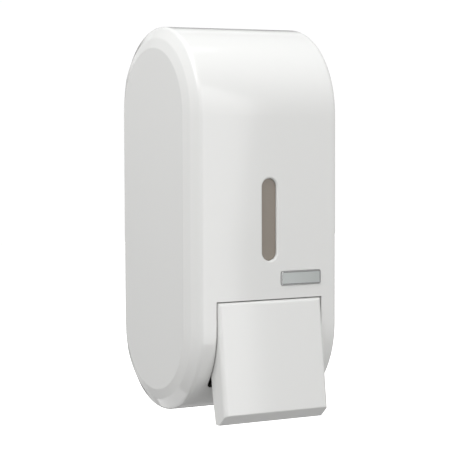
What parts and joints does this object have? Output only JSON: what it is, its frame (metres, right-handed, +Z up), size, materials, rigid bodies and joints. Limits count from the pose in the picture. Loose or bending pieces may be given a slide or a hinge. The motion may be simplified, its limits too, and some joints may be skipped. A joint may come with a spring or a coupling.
{
  "type": "wall mounted soap dispenser",
  "caption": "White wall dispenser for liquid soap: rounded tipping cover with a level window, a push lever that works a piston pump, and a lidded tank inside.",
  "frame": {"origin": "centre of the back plate's flat wall face", "axes": "+Y into the wall, so the front faces -Y; +Z up; +X to the right of a person who faces the front"},
  "size_m": [0.106, 0.1194, 0.243],
  "materials": {
    "white_plastic": "gloss white moulded plastic",
    "smoked_clear": "smoked clear plastic",
    "chrome": "bright plate",
    "steel": "drawn steel",
    "lock_plastic": "grey moulded plastic",
    "tank_plastic": "translucent moulded plastic",
    "lid_plastic": "satin moulded plastic",
    "pump_plastic": "satin moulded plastic",
    "black_rubber": "matt rubber",
    "clear_rubber": "clear silicone",
    "spring_steel": "bright wire"
  },
  "bodies": {
    "base": {"back_plate": "white_plastic", "cover_hinge_pins": "steel", "reservoir": "tank_plastic", "lid_hinge_pin": "steel", "neck_gasket": "black_rubber", "coupling_nut": "pump_plastic", "pump_body": "pump_plastic", "inlet_valve": "clear_rubber", "pump_cap": "pump_plastic", "return_spring": "spring_steel"},
    "cover": {"front_cover": "white_plastic", "level_window": "smoked_clear", "badge_plate": "chrome", "lever_hinge_rod": "steel"},
    "lever": {"push_lever": "white_plastic", "lever_bumper": "black_rubber"},
    "plunger": {"pump_plunger": "pump_plastic", "piston_seal": "black_rubber", "nozzle_head": "pump_plastic", "duckbill_valve": "clear_rubber"},
    "lock": {"lock_barrel": "lock_plastic", "lock_cam": "lock_plastic", "lock_screw": "steel"},
    "lid": {"reservoir_lid": "lid_plastic"}
  },
  "joints": [
    {"name": "cover_hinge", "type": "hinge", "parent": "base", "child": "cover", "pos_m": [0, -0.0058, -0.0985], "axis": [1, 0, 0], "range_deg": [0, 65]},
    {"name": "lever_hinge", "type": "hinge", "parent": "cover", "child": "lever", "pos_m": [0, -0.1035, -0.053], "axis": [1, 0, 0], "range_deg": [0, 7], "stiffness_Nm_per_rad": 2, "springref_deg": -5.73},
    {"name": "plunger_slide", "type": "slide", "parent": "base", "child": "plunger", "axis": [0, 1, 0], "range_m": [0, 0.0043], "deforming": ["return_spring"]},
    {"name": "lock_turn", "type": "hinge", "parent": "cover", "child": "lock", "pos_m": [0, -0.048, 0.1], "axis": [0, 0, -1], "range_deg": [0, 90]},
    {"name": "lid_hinge", "type": "hinge", "parent": "base", "child": "lid", "pos_m": [0, -0.056, 0.0646], "axis": [-1, 0, 0], "range_deg": [0, 80]}
  ],
  "couplings": [
    {"joint": "plunger_slide", "follows": "lever_hinge", "m_per_rad": 0.0343}
  ]
}
